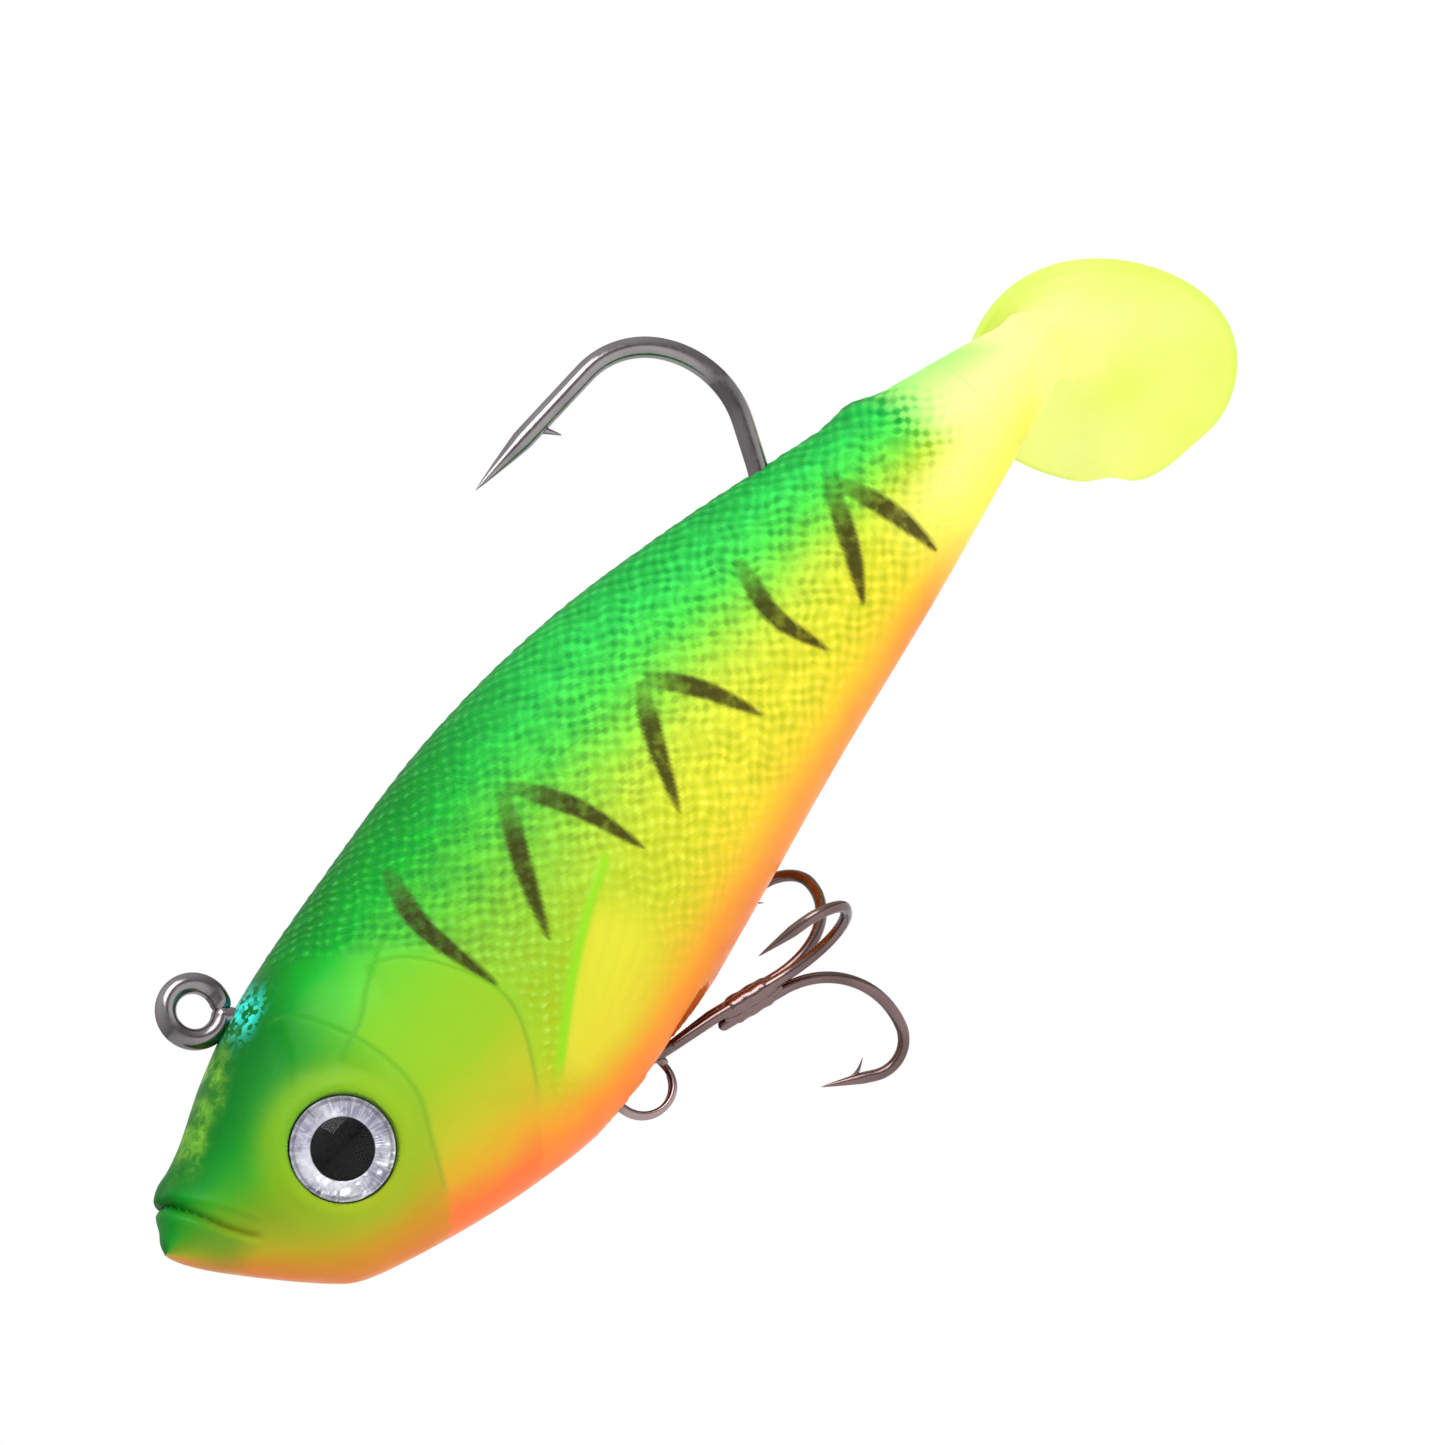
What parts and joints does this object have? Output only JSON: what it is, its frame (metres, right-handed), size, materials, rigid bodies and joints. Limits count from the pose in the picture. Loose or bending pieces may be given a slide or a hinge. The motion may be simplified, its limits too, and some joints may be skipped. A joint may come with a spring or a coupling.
{
  "type": "soft swimbait",
  "caption": "Soft paddle-tail swimbait: shad body moulded over a weighted jig hook, with domed eyes and a treble hook hung from a belly split ring.",
  "frame": {"origin": "inside the front of the line-tie ring, on the flat that a line pulls against", "axes": "+X from head to tail, +Y to the fish's right side, +Z to its back"},
  "size_m": [0.1011, 0.0239, 0.0495],
  "materials": {
    "soft_body": "glossy soft plastic, green back to yellow flank to orange belly",
    "soft_tail": "glossy translucent soft plastic, lime to yellow",
    "soft_paddle": "glossy translucent yellow soft plastic",
    "hook_steel": "dark nickel-plated steel wire",
    "treble_steel": "bronze-black plated steel wire",
    "ring_steel": "plated spring steel",
    "lead": "dull cast lead",
    "eye_foil": "silver printed foil with a black pupil",
    "flash_foil": "iridescent flash film",
    "eye_resin": "clear domed resin"
  },
  "bodies": {
    "fish": {"soft_body": "soft_body", "jig_hook": "hook_steel", "lead_weight": "lead", "belly_eyelet": "ring_steel", "flash_foil": "flash_foil", "left_eye_foil": "eye_foil", "left_eye_dome": "eye_resin", "right_eye_foil": "eye_foil", "right_eye_dome": "eye_resin"},
    "stem": {"tail_stem": "soft_tail"},
    "paddle": {"tail_paddle": "soft_paddle"},
    "ring": {"split_ring": "ring_steel"},
    "treble": {"treble_double_wire": "treble_steel", "treble_single_wire": "treble_steel", "treble_braze": "treble_steel"}
  },
  "joints": [
    {"name": "tail_flex", "type": "hinge", "parent": "fish", "child": "stem", "pos_m": [0.06355, 0, 0], "axis": [0, 0, 1], "range_deg": [-28, 28]},
    {"name": "paddle_kick", "type": "hinge", "parent": "stem", "child": "paddle", "pos_m": [0.07685, 0, 0], "axis": [0, 0, 1], "range_deg": [-100, 12]},
    {"name": "ring_swing", "type": "hinge", "parent": "fish", "child": "ring", "pos_m": [0.01983, 0, -0.02341], "axis": [0, 1, 0], "range_deg": [0, 50]},
    {"name": "treble_swing", "type": "hinge", "parent": "ring", "child": "treble", "pos_m": [0.02055, 0, -0.02465], "axis": [0, 1, 0], "range_deg": [0, 90]}
  ]
}
